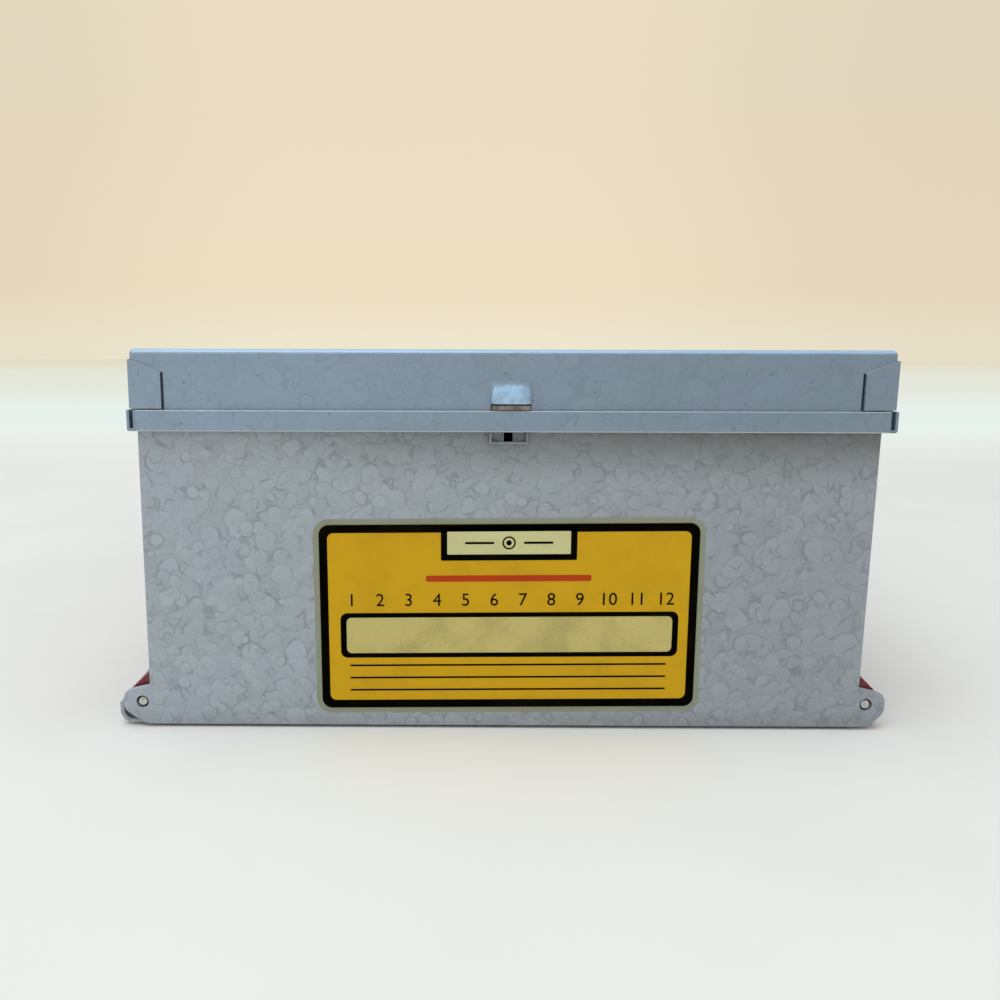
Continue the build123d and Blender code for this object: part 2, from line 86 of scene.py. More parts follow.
label_low, label_high = [Vector(corner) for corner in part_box("front_label")]
front_y = label_high.y
skirt_y = front_y - 0.8 * MM


def node(tree, kind, inputs=None, **settings):
    """Adds a shader node, sets its properties, and fills or links its inputs."""
    made = tree.nodes.new(kind)
    for key, value in settings.items():
        setattr(made, key, value)
    for key, value in (inputs or {}).items():
        if isinstance(value, bpy.types.NodeSocket):
            tree.links.new(value, made.inputs[key])
        else:
            made.inputs[key].default_value = value
    return made


def new_material(name, colour, roughness, metallic=0.0, specular=0.5, coat=0.0):
    """A material with one Principled shader, whose constants sit on the shader itself."""
    material = bpy.data.materials.new(name)
    material.use_nodes = True
    tree = material.node_tree
    shader = tree.nodes["Principled BSDF"]
    shader.inputs["Base Color"].default_value = (*colour, 1.0)
    shader.inputs["Roughness"].default_value = roughness
    shader.inputs["Metallic"].default_value = metallic
    shader.inputs["Specular IOR Level"].default_value = specular
    shader.inputs["Coat Weight"].default_value = coat
    return material, tree, shader


def math(tree, operation, first, second=0.0, clamp=False):
    """One arithmetic step between sockets or numbers."""
    made = node(tree, "ShaderNodeMath", {0: first, 1: second}, operation=operation, use_clamp=clamp)
    return made.outputs[0]


def remap(tree, value, low, high, to_low=0.0, to_high=1.0, smooth=True):
    """Carries a value from one range to another, held at both ends."""
    kind = "SMOOTHSTEP" if smooth else "LINEAR"
    inputs = {"Value": value, "From Min": low, "From Max": high, "To Min": to_low, "To Max": to_high}
    return node(tree, "ShaderNodeMapRange", inputs, interpolation_type=kind).outputs["Result"]


def mix(tree, factor, first, second):
    """Mixes two colours, given as triples or sockets."""
    made = node(tree, "ShaderNodeMix", data_type="RGBA")
    pairs = ((made.inputs[0], factor), (made.inputs[6], first), (made.inputs[7], second))
    for socket, value in pairs:
        if isinstance(value, bpy.types.NodeSocket):
            tree.links.new(value, socket)
        else:
            socket.default_value = (*value, 1.0) if isinstance(value, tuple) else value
    return made.outputs[2]


def noise(tree, place, size, detail=3.0, roughness=0.55, distortion=0.0):
    """Noise whose lumps are about size metres across."""
    inputs = {"Vector": place, "Scale": 1.0 / size, "Detail": detail}
    made = node(tree, "ShaderNodeTexNoise", inputs)
    made.inputs["Roughness"].default_value = roughness
    made.inputs["Distortion"].default_value = distortion
    return made.outputs["Fac"]


def object_place(tree):
    """The point on the piece, in metres in the shared frame at rest."""
    return node(tree, "ShaderNodeTexCoord").outputs["Object"]


def bump(tree, shader, height, depth, strength=1.0):
    """Feeds a height of 0 to 1 into the shader's normal."""
    made = node(tree, "ShaderNodeBump", {"Strength": strength, "Distance": depth, "Height": height})
    tree.links.new(made.outputs["Normal"], shader.inputs["Normal"])


def jogged(tree, place, size, amount):
    """The same place, pushed about by coloured noise, so that straight cell walls bend."""
    wander = node(tree, "ShaderNodeTexNoise", {"Vector": place, "Scale": 1.0 / size, "Detail": 2.0})
    centred = node(tree, "ShaderNodeVectorMath", {0: wander.outputs["Color"], 1: (0.5, 0.5, 0.5)},
                   operation="SUBTRACT")
    scaled = node(tree, "ShaderNodeVectorMath", {0: centred.outputs[0], "Scale": amount},
                  operation="SCALE")
    return node(tree, "ShaderNodeVectorMath", {0: place, 1: scaled.outputs[0]},
                operation="ADD").outputs[0]


def cells(tree, place, size, feature):
    """Voronoi cells about size metres across."""
    inputs = {"Vector": place, "Scale": 1.0 / size}
    return node(tree, "ShaderNodeTexVoronoi", inputs, feature=feature)


def discs(tree, place, size, reach, seed):
    """Round blisters about size metres across: where they are, edges, a painted glint on the inner rims, tone
    and height.
    """
    moved = node(tree, "ShaderNodeVectorMath", {0: place, 1: (seed, seed * 1.7, seed * 2.3)}, operation="ADD")
    found = cells(tree, moved.outputs[0], size, "F1")
    away = found.outputs["Distance"]
    random = node(tree, "ShaderNodeSeparateColor", {"Color": found.outputs["Color"]}).outputs
    radius = remap(tree, random["Red"], 0.0, 1.0, reach * 0.7, reach, smooth=False)
    past = math(tree, "SUBTRACT", away, radius)
    inside = remap(tree, past, -0.05, 0.0, 1.0, 0.0)
    rim = remap(tree, math(tree, "ABSOLUTE", math(tree, "SUBTRACT", past, 0.02)), 0.0, 0.075, 1.0, 0.0)
    pale = remap(tree, math(tree, "ABSOLUTE", math(tree, "ADD", past, 0.07)), 0.0, 0.06, 1.0, 0.0)
    dome = remap(tree, past, -0.3, 0.0, 1.0, 0.0)
    return inside, rim, pale, random["Green"], dome


def blend(tree, factor, first, second):
    """Goes from one number to another as the factor goes from 0 to 1."""
    made = node(tree, "ShaderNodeMix", {0: factor, 2: first, 3: second}, data_type="FLOAT")
    return made.outputs[0]


def hammertone(name, light, dark, cell, contrast, stroke, depth, roughness, coat=0.2):
    """Hammered enamel: loose blisters over packed cells, with thin dark lines, specks and pits, and a painted
    glint on the blisters' inner rims.
    """
    material, tree, shader = new_material(name, light, roughness, metallic=0.1, specular=0.45, coat=coat)
    shader.inputs["Coat Roughness"].default_value = 0.28
    true_place = object_place(tree)
    place = jogged(tree, true_place, cell * 0.8, cell * 0.45)
    broken = remap(tree, noise(tree, place, cell * 0.7, detail=2.0), 0.46, 0.64, 0.15, 1.0)
    shade = remap(tree, noise(tree, place, cell * 1.4), 0.3, 0.7, 0.5, 0.9)
    packed_size = cell * PACKED_SHARE
    packed = cells(tree, place, packed_size, "F1").outputs["Color"]
    packed = node(tree, "ShaderNodeSeparateColor", {"Color": packed}).outputs["Blue"]
    shade = blend(tree, 0.6, shade, remap(tree, packed, 0.0, 1.0, 0.1, 0.8, smooth=False))
    wall = cells(tree, place, packed_size, "DISTANCE_TO_EDGE").outputs["Distance"]
    line = math(tree, "MULTIPLY", remap(tree, wall, 0.0, 0.07, 1.0, 0.0), broken)
    glint = 0.0
    height = remap(tree, wall, 0.0, 0.3)
    for size, reach, seed in BLISTERS:
        inside, rim, pale, tone, dome = discs(tree, place, cell * size, reach, seed)
        shade = blend(tree, inside, shade, remap(tree, tone, 0.0, 1.0, 0.1, 0.6, smooth=False))
        line = blend(tree, inside, line, 0.0)
        line = math(tree, "MAXIMUM", line, math(tree, "MULTIPLY", rim, broken))
        glint = math(tree, "MAXIMUM", blend(tree, inside, glint, 0.0), pale)
        height = blend(tree, inside, height, dome)
    grain = noise(tree, place, cell * 0.11, detail=3.0)
    total = math(tree, "MULTIPLY", shade, contrast * 0.6)
    total = math(tree, "ADD", total, math(tree, "MULTIPLY", line, stroke))
    # the painted glint lightens the blisters' inner rims
    total = math(tree, "SUBTRACT", total, math(tree, "MULTIPLY", glint, 0.12 * stroke))
    total = math(tree, "ADD", total, remap(tree, grain, 0.3, 0.7, -0.05, 0.05, smooth=False))
    pits = remap(tree, noise(tree, true_place, cell * 0.22, detail=1.0), 0.74, 0.78)
    total = math(tree, "ADD", total, math(tree, "MULTIPLY", pits, 0.45), clamp=True)
    patch = remap(tree, noise(tree, true_place, cell * 3.5, detail=2.0), 0.4, 0.62)
    tinted = mix(tree, patch, light, tuple(a * b for a, b in zip(light, (0.98, 1.0, 0.96))))
    colour = mix(tree, total, tinted, dark)
    specks = remap(tree, noise(tree, true_place, cell * 0.13, detail=1.0), 0.74, 0.79, 0.0, 0.3)
    colour = mix(tree, specks, colour, SPECK_PALE)
    tree.links.new(colour, shader.inputs["Base Color"])
    bump(tree, shader, math(tree, "SUBTRACT", height, math(tree, "MULTIPLY", line, 0.5)), depth, 0.6)
    return material


def wrinkle(name, light, dark, size, depth):
    """Fine wrinkle enamel: a dense crinkle, with a painted highlight on its crests and painted shade in its
    hollows.
    """
    material, tree, shader = new_material(name, light, 0.42, specular=0.45, coat=0.2)
    place = object_place(tree)
    crinkle = noise(tree, place, size, detail=4.0, roughness=0.6, distortion=0.6)
    broad = noise(tree, place, size * 14)
    # painted highlight on the crests and painted shade in the hollows
    shade = math(tree, "MULTIPLY", remap(tree, crinkle, 0.35, 0.65, 1.0, 0.0), 0.8)
    shade = math(tree, "ADD", shade, remap(tree, broad, 0.3, 0.7, -0.1, 0.15), clamp=True)
    tree.links.new(mix(tree, shade, light, dark), shader.inputs["Base Color"])
    bump(tree, shader, crinkle, depth, 0.7)
    return material


def bare_steel(name, light, dark, roughness):
    """Bare or plated metal, with fine scratches and duller patches."""
    material, tree, shader = new_material(name, light, roughness, metallic=1.0)
    place = object_place(tree)
    patches = noise(tree, place, 1.1 * MM, detail=4.0)
    stretched = node(tree, "ShaderNodeMapping", {"Vector": place, "Scale": (1.0, 9.0, 1.0)})
    scratches = noise(tree, stretched.outputs["Vector"], 0.35 * MM, detail=3.0)
    shade = math(tree, "ADD", remap(tree, patches, 0.4, 0.68), math(tree, "MULTIPLY", scratches, 0.3),
                 clamp=True)
    tree.links.new(mix(tree, shade, light, dark), shader.inputs["Base Color"])
    rough = remap(tree, patches, 0.35, 0.7, roughness * 0.8, min(1.0, roughness * 1.5))
    tree.links.new(rough, shader.inputs["Roughness"])
    bump(tree, shader, scratches, 0.02 * MM, 0.5)
    return material


def print_ink(name, colour, speck, speck_amount, roughness=0.4, blotch=0.12, specular=0.1):
    """Printed and varnished paper: even ink with brown specks and faint blotches."""
    material, tree, shader = new_material(name, colour, roughness, specular=specular)
    place = object_place(tree)
    flecks = noise(tree, place, 0.32 * MM, detail=3.0, roughness=0.7)
    fleck = remap(tree, flecks, 0.74 - speck_amount, 0.8 - speck_amount)
    blotches = noise(tree, place, 6.0 * MM, detail=4.0)
    shade = math(tree, "ADD", math(tree, "MULTIPLY", fleck, 0.75),
                 remap(tree, blotches, 0.4, 0.75, 0.0, blotch), clamp=True)
    tree.links.new(mix(tree, shade, colour, speck), shader.inputs["Base Color"])
    bump(tree, shader, noise(tree, place, 0.5 * MM), 0.01 * MM, 0.4)
    return material


def paper(name, light, dark):
    """Aged matt card, with fibres and soft stains."""
    material, tree, shader = new_material(name, light, 0.85, specular=0.2)
    place = object_place(tree)
    fibres = noise(tree, place, 0.5 * MM, detail=5.0, roughness=0.7)
    stains = noise(tree, place, 14.0 * MM, detail=4.0)
    shade = math(tree, "ADD", remap(tree, fibres, 0.3, 0.75, 0.0, 0.25),
                 remap(tree, stains, 0.5, 0.75, 0.0, 0.6), clamp=True)
    tree.links.new(mix(tree, shade, light, dark), shader.inputs["Base Color"])
    bump(tree, shader, fibres, 0.02 * MM, 0.5)
    return material


def add_grime(material, colour, low, high, strength, across):
    """Painted shade from the height low up to high under the lid, and across to the right, away from the
    light; darker towards the foot; a painted contact shadow under the front.
    """
    tree = material.node_tree
    shader = tree.nodes["Principled BSDF"]
    paint = shader.inputs["Base Color"].links[0].from_socket
    place = node(tree, "ShaderNodeSeparateXYZ", {"Vector": object_place(tree)}).outputs
    # painted shade of the lid's overhang, stronger to the right, away from the light
    under = remap(tree, place["Z"], low, high)
    sideways = remap(tree, place["X"], -52.0 * MM, 10.0 * MM, 0.25, 1.0)
    foot = remap(tree, place["Z"], 1.0 * MM, 4.0 * MM, 0.3 * strength, 0.0)
    amount = math(tree, "MULTIPLY", under, math(tree, "MULTIPLY", sideways, strength))
    amount = math(tree, "ADD", math(tree, "MAXIMUM", amount, foot),
                  remap(tree, place["X"], -50.0 * MM, 50.0 * MM, across * 0.25, across))
    # a painted contact shadow in the gap under the front panel
    contact = math(tree, "MULTIPLY", math(tree, "LESS_THAN", place["Z"], PANEL_FOOT),
                   math(tree, "LESS_THAN", math(tree, "ABSOLUTE", place["X"]), PAN_REACH))
    paint = mix(tree, amount, paint, colour)
    tree.links.new(mix(tree, contact, paint, CONTACT_SHADOW), shader.inputs["Base Color"])


def add_groove_dirt(material, colour, low, high):
    """Painted shade in the grooves of the front skirt, which lie behind its face, from depth low to high."""
    tree = material.node_tree
    shader = tree.nodes["Principled BSDF"]
    paint = shader.inputs["Base Color"].links[0].from_socket
    place = node(tree, "ShaderNodeSeparateXYZ", {"Vector": object_place(tree)}).outputs
    behind = math(tree, "MULTIPLY", math(tree, "GREATER_THAN", place["Y"], low),
                  math(tree, "LESS_THAN", place["Y"], high))
    below = math(tree, "LESS_THAN", place["Z"], GROOVE_TOP)
    within = math(tree, "LESS_THAN", math(tree, "ABSOLUTE", place["X"]), GROOVE_REACH)
    amount = math(tree, "MULTIPLY", math(tree, "MULTIPLY", behind, below), within)
    tree.links.new(mix(tree, amount, paint, colour), shader.inputs["Base Color"])


def add_wear(material, colour, louvre_y):
    """Pale hem and tab edges, partly wear and partly a painted highlight, and a painted reflection of the
    bluish sky on the top bends and on the louvre, ahead of louvre_y.
    """
    tree = material.node_tree
    shader = tree.nodes["Principled BSDF"]
    paint = shader.inputs["Base Color"].links[0].from_socket
    coordinates = node(tree, "ShaderNodeTexCoord").outputs
    normal = node(tree, "ShaderNodeSeparateXYZ", {"Vector": coordinates["Normal"]}).outputs["Z"]
    place = node(tree, "ShaderNodeSeparateXYZ", {"Vector": coordinates["Object"]}).outputs
    aside = math(tree, "ABSOLUTE", place["X"])
    height = place["Z"]

    # edges turned up or down on the hem and tabs: partly wear, partly a painted highlight where they catch
    # the light
    turned = math(tree, "MAXIMUM", remap(tree, normal, -0.75, -0.2, 1.0, 0.0), remap(tree, normal, 0.2, 0.75))
    tab_end = math(tree, "MULTIPLY", math(tree, "GREATER_THAN", aside, TABS_FROM),
                   math(tree, "LESS_THAN", height, TAB_TOP))
    edges = math(tree, "MAXIMUM", math(tree, "LESS_THAN", height, HEM_TOP), tab_end)
    wear_and_highlight = math(tree, "MULTIPLY", math(tree, "MULTIPLY", turned, edges), 0.8)

    # a painted reflection of the bluish sky along the top bends and on the louvre
    on_bend = math(tree, "MULTIPLY", remap(tree, normal, 0.3, 0.6),
                   remap(tree, normal, 0.93, 0.985, 1.0, 0.0))
    on_bend = math(tree, "MULTIPLY", on_bend, math(tree, "GREATER_THAN", height, TAB_TOP))
    on_louvre = math(tree, "MULTIPLY", remap(tree, place["Y"], louvre_y - 0.3 * MM, louvre_y, 1.0, 0.0),
                     math(tree, "LESS_THAN", aside, LOUVRE_HALF))
    above_hem = math(tree, "GREATER_THAN", height, HEM_TOP + 0.5 * MM)
    on_louvre = math(tree, "MULTIPLY", on_louvre, above_hem)
    uneven = remap(tree, noise(tree, coordinates["Object"], 1.2 * MM), 0.35, 0.65, 0.3, 0.75)
    pale = math(tree, "MAXIMUM", math(tree, "MULTIPLY", on_bend, 0.6),
                math(tree, "MULTIPLY", on_louvre, uneven))
    paint = mix(tree, pale, paint, SKY_REFLECTION_BLUE)
    tree.links.new(mix(tree, wear_and_highlight, paint, colour), shader.inputs["Base Color"])


BODY_PAINT = hammertone("body_paint", (0.435, 0.485, 0.545), (0.12, 0.14, 0.16), cell=3.6 * MM,
                        contrast=0.44, stroke=0.34, depth=0.2 * MM, roughness=0.42)
# The lid's bluer colour is a painted reflection of the blue sky on the same enamel as the body's
LID_PAINT = hammertone("lid_paint", (0.285, 0.378, 0.49), (0.10, 0.14, 0.19), cell=4.2 * MM,
                       contrast=0.24, stroke=0.14, depth=0.07 * MM, roughness=0.36, coat=0.3)
# Painted shade on the body: the lid's shadow under its hem, darker to the right, and the contact shadow under
# the front
add_grime(BODY_PAINT, (0.12, 0.118, 0.11), 39.0 * MM, 48.0 * MM, 0.5, 0.3)
# Painted shade on the lid: darker to the right, away from the light
add_grime(LID_PAINT, (0.05, 0.06, 0.07), 80.0 * MM, 90.0 * MM, 0.0, 0.3)
# Painted shade in the grooves beside the lid's tabs
add_groove_dirt(LID_PAINT, (0.025, 0.045, 0.07), skirt_y + 0.05 * MM, skirt_y + 0.39 * MM)
# Pale edges, partly wear and partly painted highlight, and a painted sky reflection on the top bends and the
# louvre
add_wear(LID_PAINT, (0.62, 0.66, 0.67), skirt_y - 0.1 * MM)
RED_PAINT = wrinkle("red_paint", (0.26, 0.022, 0.03), (0.05, 0.004, 0.008), 0.35 * MM, 0.06 * MM)
ROD_STEEL = bare_steel("rod_steel", (0.66, 0.66, 0.63), (0.34, 0.33, 0.30), 0.3)
CATCH_STEEL = bare_steel("catch_steel", (0.27, 0.25, 0.235), (0.20, 0.18, 0.165), 0.5)
YELLOW = print_ink("label_yellow", (0.665, 0.38, 0.010), (0.10, 0.05, 0.01), 0.0)
CREAM = print_ink("label_cream", (0.65, 0.63, 0.31), (0.25, 0.18, 0.06), 0.02)
WINDOW = print_ink("label_window", (0.60, 0.51, 0.18), (0.14, 0.09, 0.03), 0.11, blotch=0.3)
BLACK = print_ink("label_black", (0.002, 0.0018, 0.0008), (0.03, 0.025, 0.01), 0.02,
                  roughness=0.6, specular=0.0)
RED_INK = print_ink("label_red", (0.50, 0.05, 0.008), (0.2, 0.03, 0.01), 0.02)
FILM = print_ink("label_film", (0.30, 0.315, 0.235), (0.09, 0.10, 0.065), 0.08, roughness=0.3)
CARD = paper("aged_card", (0.74, 0.68, 0.52), (0.52, 0.42, 0.26))

NODE_MATERIALS = {
    "base_pan": BODY_PAINT,
    "rear_panel": BODY_PAINT,
    "front_panel": BODY_PAINT,
    "lid_shell": LID_PAINT,
    "catch_plate": CATCH_STEEL,
    "hinge_pin": ROD_STEEL,
    "rod_left": ROD_STEEL,
    "rod_right": ROD_STEEL,
    "front_label": YELLOW,
    "index_card": CARD,
}


def dress_nodes():
    """Gives every CAD node its material."""
    for name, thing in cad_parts.items():
        material = NODE_MATERIALS.get(name)
        if name.startswith(("compartment", "lug_block")):
            material = RED_PAINT
        if name.startswith("number_label"):
            material = CARD
        thing.data.materials.clear()
        thing.data.materials.append(material)


def flat_frame(origin, right, up):
    """Matrix that carries a drawing's x, y and height to a place on the object."""
    right = Vector(right).normalized()
    up = Vector(up).normalized()
    out = right.cross(up)
    matrix = Matrix((right, up, out)).transposed().to_4x4()
    matrix.translation = Vector(origin)
    return matrix


def rounded(width, height, radius, steps=8):
    """Outline of a rectangle with round corners, anticlockwise."""
    points = []
    corners = ((1, 1, 0), (-1, 1, 1), (-1, -1, 2), (1, -1, 3))
    for side_x, side_y, quarter in corners:
        centre_x = side_x * (width / 2 - radius)
        centre_y = side_y * (height / 2 - radius)
        for step in range(steps + 1):
            turn = (quarter + step / steps) * pi / 2
            points.append((centre_x + radius * cos(turn), centre_y + radius * sin(turn)))
    return points


def circle(radius, steps=40):
    """Outline of a circle, anticlockwise."""
    return [(radius * cos(2 * pi * i / steps), radius * sin(2 * pi * i / steps)) for i in range(steps)]


def shifted(points, x, y):
    """The same outline, moved on the drawing."""
    return [(px + x, py + y) for px, py in points]


def add_piece(name, mesh, body, material):
    """Links a finished mesh, gives it its material, and lets it ride on its body."""
    piece = bpy.data.objects.new(name, mesh)
    bpy.context.scene.collection.objects.link(piece)
    mesh.materials.append(material)
    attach(piece, body)
    return piece


def slab(build, matrix, outline, low, high, hole=None):
    """Adds a flat solid to a mesh: an outline between two heights, with an optional hole."""
    rings = []
    loops = [outline] + ([hole] if hole else [])
    for loop in loops:
        ring = [[build.verts.new(matrix @ Vector((x, y, z))) for x, y in loop] for z in (low, high)]
        rings.append(ring)
    for index, (bottom, top) in enumerate(rings):
        count = len(bottom)
        for i in range(count):
            j = (i + 1) % count
            side = (bottom[i], bottom[j], top[j], top[i])
            build.faces.new(side if index == 0 else side[::-1])
    if not hole:
        build.faces.new(rings[0][1])
        build.faces.new(rings[0][0][::-1])
        return
    count = len(outline)
    for i in range(count):
        j = (i + 1) % count
        build.faces.new((rings[0][1][i], rings[0][1][j], rings[1][1][j], rings[1][1][i]))
        build.faces.new((rings[0][0][j], rings[0][0][i], rings[1][0][i], rings[1][0][j]))


def flat_piece(name, matrix, shapes, low, high, body, material):
    """One piece made of several flat solids. A shape is an outline, or an outline and its hole."""
    build = bmesh.new()
    for shape in shapes:
        if isinstance(shape[0][0], tuple):
            slab(build, matrix, shape[0], low, high, shape[1])
        else:
            slab(build, matrix, shape, low, high)
    mesh = bpy.data.meshes.new(name)
    build.to_mesh(mesh)
    build.free()
    return add_piece(name, mesh, body, material)


def numerals(name, matrix, places, size, body, material, lift=0.0, thickness=INK):
    """Plain numbers, as one mesh. places is a list of (words, x, y)."""
    build = bmesh.new()
    for words, x, y in places:
        curve = bpy.data.curves.new("numeral", "FONT")
        curve.body = words
        curve.size = size
        curve.align_x = "CENTER"
        curve.align_y = "CENTER"
        curve.extrude = thickness / 2
        curve.resolution_u = 4
        writer = bpy.data.objects.new("numeral", curve)
        bpy.context.scene.collection.objects.link(writer)
        bpy.context.view_layer.update()
        mesh = bpy.data.meshes.new_from_object(writer)
        mesh.transform(matrix @ Matrix.Translation((x, y, lift + thickness / 2)))
        build.from_mesh(mesh)
        bpy.data.objects.remove(writer)
        bpy.data.curves.remove(curve)
        bpy.data.meshes.remove(mesh)
    bmesh.ops.remove_doubles(build, verts=build.verts, dist=1e-7)
    mesh = bpy.data.meshes.new(name)
    build.to_mesh(mesh)
    build.free()
    return add_piece(name, mesh, body, material)


def build_label():
    """The layers of the front label: film, frame, panels, rules and plain numbers."""
    middle = (label_low + label_high) / 2
    right = (cos(LABEL_TILT), 0.0, sin(LABEL_TILT))
    up = (-sin(LABEL_TILT), 0.0, cos(LABEL_TILT))
    face = flat_frame((middle.x, label_low.y, middle.z), right, up)
    sheet = flat_frame((middle.x, front_y, middle.z), right, up)
    width, height = LABEL_SIZE
    body, slot = "front_panel", "label_print"

    film = rounded(width + 2 * FILM_BORDER, height + 2 * FILM_BORDER, LABEL_ROUND + FILM_BORDER)
    film_hole = rounded(width - 0.4 * MM, height - 0.4 * MM, LABEL_ROUND)
    flat_piece("label_film", sheet, [(film, film_hole)], 0.0, 0.04 * MM, body, FILM)

    edge = rounded(width, height, LABEL_ROUND)
    field = rounded(width - 2 * FRAME_BORDER, height - 2 * FRAME_BORDER, 1.0 * MM)
    press_y = 12.0 * MM
    window_x = 0.15 * MM
    window_y = -2.93 * MM
    press_back = shifted(rounded(21.3 * MM, 5.4 * MM, 0.25 * MM), 0.0, press_y - 0.1 * MM)
    window_back = shifted(rounded(53.5 * MM, 7.35 * MM, 1.1 * MM), window_x, window_y)
    window_face = shifted(rounded(51.6 * MM, 5.85 * MM, 0.8 * MM), window_x, window_y)
    frames = [(edge, field), press_back, (window_back, window_face)]
    flat_piece("label_frame", face, frames, 0.0, INK, body, BLACK)
    press_face = shifted(rounded(19.3 * MM, 3.65 * MM, 0.15 * MM), 0.0, press_y)
    flat_piece("press_panel", face, [press_face], INK, 1.8 * INK, body, CREAM)
    flat_piece("label_window", face, [window_face], 0.0, 0.8 * INK, body, WINDOW)

    ring = (circle(1.05 * MM), circle(0.8 * MM))
    marks = [tuple(shifted(loop, 0.0, press_y) for loop in ring), shifted(circle(0.42 * MM), 0.0, press_y)]
    for side in (-1, 1):
        bar = shifted(rounded(4.6 * MM, 0.35 * MM, 0.15 * MM, 3), side * 4.6 * MM, press_y)
        marks.append(bar)
    flat_piece("press_mark", face, marks, 1.8 * INK, 2.6 * INK, body, BLACK)

    rules = [shifted(rounded(26.0 * MM, 1.0 * MM, 0.3 * MM, 3), 0.0, 6.3 * MM)]
    flat_piece("label_red_rule", face, rules, 0.0, INK, body, RED_INK)
    numbers = [(str(n + 1), (n - 5.5) * 4.5 * MM, 2.75 * MM) for n in range(12)]
    numerals("label_numbers", face, numbers, 2.9 * MM, body, BLACK)
    lines = []
    for line_width, line_y in ((50.4, -7.9), (50.4, -9.95), (50.4, -12.0)):
        lines.append(shifted(rounded(line_width * MM, 0.28 * MM, 0.1 * MM, 2), 0.0, line_y * MM))
    flat_piece("label_lines", face, lines, 0.0, INK, body, BLACK)


def build_numbers():
    """A plain number on each compartment's paper label."""
    number = 0
    for side in ROWS:
        for _ in range(PER_ROW):
            number += 1
            low, high = [Vector(corner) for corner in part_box(f"number_label_{number:02d}")]
            middle = (low + high) / 2
            outer = high.x if side > 0 else low.x
            face = flat_frame((outer, middle.y, middle.z), (0.0, side, 0.0), (0.0, 0.0, 1.0))
            body = f"compartment_{number:02d}"
            numerals(f"number_{number:02d}", face, [(str(number), 0.0, 0.0)], 6.0 * MM, body, BLACK)


def build_card():
    """Ruled lines and numbers of the index card, which reads upright when the lid is open."""
    low, high = [Vector(corner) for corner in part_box("index_card")]
    middle = (low + high) / 2
    face = flat_frame((middle.x, middle.y, low.z), (1.0, 0.0, 0.0), (0.0, -1.0, 0.0))
    width = high.x - low.x - 8.0 * MM
    depth = high.y - low.y - 8.0 * MM
    block = depth / PER_ROW
    column = width / 2
    shapes = [(rounded(width, depth, 1.0 * MM, 3), rounded(width - 0.6 * MM, depth - 0.6 * MM, 0.8 * MM, 3))]
    shapes.append(rounded(0.3 * MM, depth - 0.7 * MM, 0.1 * MM, 2))
    places = []
    number = 0
    for side in ROWS:
        for row in range(PER_ROW):
            number += 1
            block_top = -depth / 2 + (row + 1) * block
            if row < PER_ROW - 1:
                line = rounded(column - 0.8 * MM, 0.3 * MM, 0.1 * MM, 2)
                shapes.append(shifted(line, side * column / 2, block_top))
            for rule in range(1, 4):
                line = rounded(column - 15.0 * MM, 0.12 * MM, 0.05 * MM, 2)
                rule_y = block_top - block * (rule / 4 + 0.02)
                shapes.append(shifted(line, side * column / 2 + 4.5 * MM, rule_y))
            places.append((str(number), side * column / 2 - column / 2 + 6.0 * MM, block_top - block / 2))
    flat_piece("card_rules", face, shapes, 0.0, INK, "lid", BLACK)
    numerals("card_numbers", face, places, 7.0 * MM, "lid", BLACK)


def seen_ray(tree):
    """1 for what the camera and reflections see, 0 for what lights the object."""
    ray = node(tree, "ShaderNodeLightPath").outputs
    seen = math(tree, "MAXIMUM", ray["Is Camera Ray"], ray["Is Glossy Ray"])
    return math(tree, "MAXIMUM", seen, ray["Is Transmission Ray"])


def build_stage():
    """Pale floor that fades into a pale haze behind the box, and far away on all sides."""
    bpy.ops.mesh.primitive_plane_add(size=12.0, location=(0.0, 0.0, 0.0))
    floor = bpy.context.object
    floor.name = "floor"
    material, tree, shader = new_material("floor_card", (0.84, 0.82, 0.78), 0.75, specular=0.2)
    place = object_place(tree)
    cloudy = remap(tree, noise(tree, place, 0.05), 0.3, 0.7)
    colour = mix(tree, cloudy, (0.925, 0.905, 0.85), (0.90, 0.885, 0.835))
    tree.links.new(colour, shader.inputs["Base Color"])
    along = node(tree, "ShaderNodeSeparateXYZ", {"Vector": place}).outputs["Y"]
    haze = mix(tree, remap(tree, along, 0.15, 0.6), (0.89, 0.905, 0.82), (0.80, 0.88, 0.84))
    haze = mix(tree, remap(tree, along, 0.6, 1.3), haze, (0.78, 0.81, 0.71))
    haze = mix(tree, remap(tree, along, 1.3, 4.5), haze, (0.78, 0.725, 0.56))
    glow = node(tree, "ShaderNodeEmission", {"Color": haze, "Strength": 1.0})
    away = node(tree, "ShaderNodeVectorMath", {0: place}, operation="LENGTH").outputs["Value"]
    far = math(tree, "MAXIMUM", remap(tree, along, 0.12, 0.5), remap(tree, away, 0.5, 1.5))
    far = math(tree, "MULTIPLY", far, seen_ray(tree))
    joined = node(tree, "ShaderNodeMixShader", {0: far, 1: shader.outputs[0], 2: glow.outputs[0]})
    tree.links.new(joined.outputs[0], tree.nodes["Material Output"].inputs["Surface"])
    floor.data.materials.append(material)


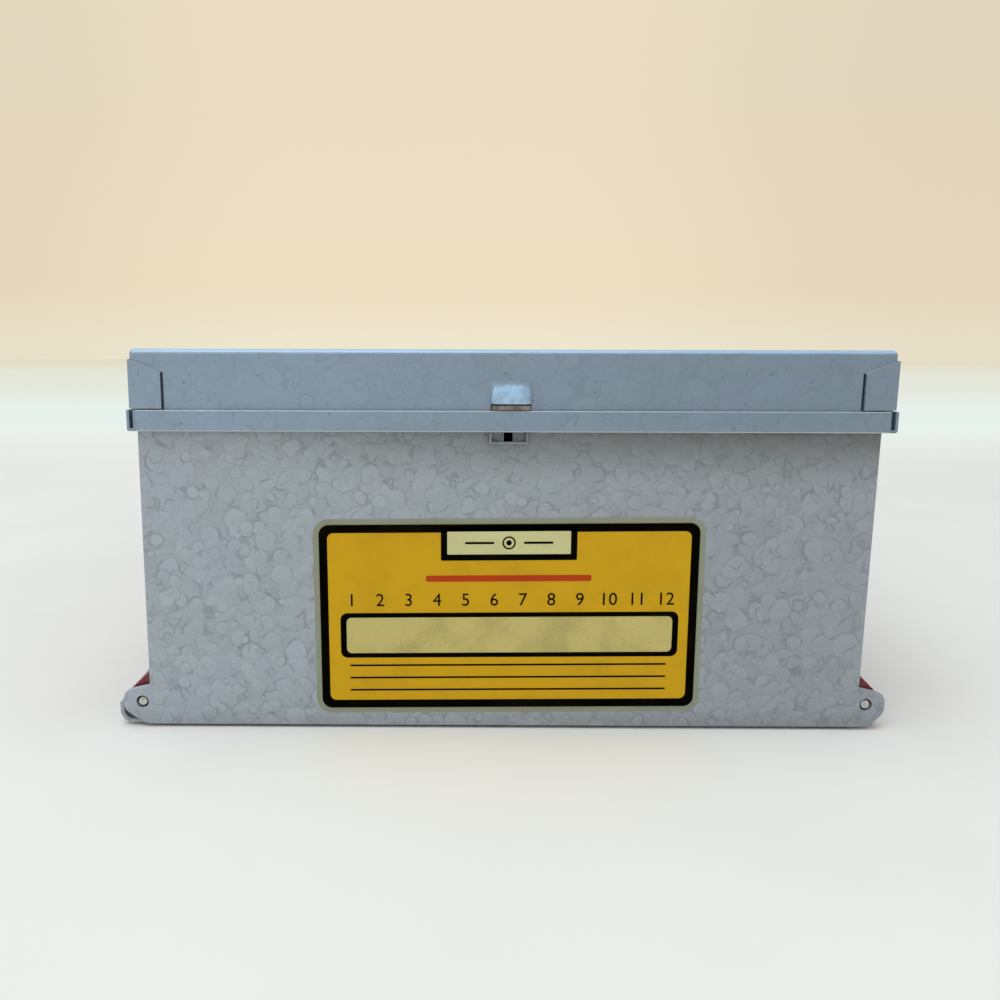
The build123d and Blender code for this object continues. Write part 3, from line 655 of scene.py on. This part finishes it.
def build_world():
    """Even sky for the light, and a cream wall for what the camera and reflections see."""
    world = bpy.data.worlds.new("studio")
    bpy.context.scene.world = world
    world.use_nodes = True
    tree = world.node_tree
    tree.nodes.clear()
    way = node(tree, "ShaderNodeTexCoord").outputs["Generated"]
    parts = node(tree, "ShaderNodeSeparateXYZ", {"Vector": way}).outputs
    rise = parts["Z"]
    wall = mix(tree, remap(tree, rise, 0.0, 0.07), (0.86, 0.79, 0.62), (0.85, 0.735, 0.54))
    wall = mix(tree, remap(tree, rise, 0.08, 0.26), wall, (0.82, 0.72, 0.55))
    edge = remap(tree, math(tree, "ABSOLUTE", parts["X"]), 0.12, 0.5, 0.0, 0.08)
    wall = mix(tree, edge, wall, (0.0, 0.0, 0.0))
    wall = mix(tree, remap(tree, rise, 0.42, 0.7), wall, (0.72, 0.9, 1.0))
    light = node(tree, "ShaderNodeBackground", {"Color": (0.94, 0.97, 1.0, 1.0), "Strength": 0.55})
    view = node(tree, "ShaderNodeBackground", {"Color": wall, "Strength": 1.0})
    joined = node(tree, "ShaderNodeMixShader", {0: seen_ray(tree), 1: light.outputs[0], 2: view.outputs[0]})
    output = node(tree, "ShaderNodeOutputWorld")
    tree.links.new(joined.outputs[0], output.inputs["Surface"])


def add_lamp(name, place, target, size, power, colour):
    """A square soft box that looks at a point."""
    lamp = bpy.data.lights.new(name, "AREA")
    lamp.shape = "SQUARE"
    lamp.size = size
    lamp.energy = power
    lamp.color = colour
    holder = bpy.data.objects.new(name, lamp)
    bpy.context.scene.collection.objects.link(holder)
    holder.location = place
    holder.rotation_euler = (Vector(target) - Vector(place)).to_track_quat("-Z", "Y").to_euler()


def build_lights():
    """A broad cool ceiling light just ahead of the box, and a soft key from the front left."""
    add_lamp("ceiling", (-0.15, -0.25, 1.15), (0.0, 0.0, 0.03), 1.0, 6.8, (0.88, 0.95, 1.0))
    add_lamp("key", (-0.6, -0.75, 0.7), (0.0, -0.05, 0.03), 0.6, 1.3, (1.0, 0.985, 0.96))


def build_camera():
    """The photograph's camera."""
    ahead_level = Vector((-sin(YAW), cos(YAW), 0.0))
    right_level = Vector((cos(YAW), sin(YAW), 0.0))
    above = Vector((0.0, 0.0, 1.0))
    ahead = ahead_level * cos(PITCH) - above * sin(PITCH)
    up_level = above * cos(PITCH) + ahead_level * sin(PITCH)
    right = right_level * cos(ROLL) + up_level * sin(ROLL)
    up = up_level * cos(ROLL) - right_level * sin(ROLL)
    matrix = Matrix((right, up, -ahead)).transposed().to_4x4()
    matrix.translation = Vector((CAMERA_X, front_y - CAMERA_DISTANCE, CAMERA_HEIGHT))
    lens = bpy.data.cameras.new("camera")
    lens.sensor_width = SENSOR
    lens.lens = SENSOR * FOCAL_PIXELS / IMAGE_PIXELS
    lens.shift_x = SHIFT
    lens.clip_start = 0.005
    lens.clip_end = 50.0
    camera = bpy.data.objects.new("camera", lens)
    bpy.context.scene.collection.objects.link(camera)
    camera.matrix_world = matrix
    bpy.context.scene.camera = camera


build_camera()
build_stage()
build_world()
build_lights()
dress_nodes()
build_label()
build_numbers()
build_card()
bpy.context.scene.view_settings.view_transform = "Standard"
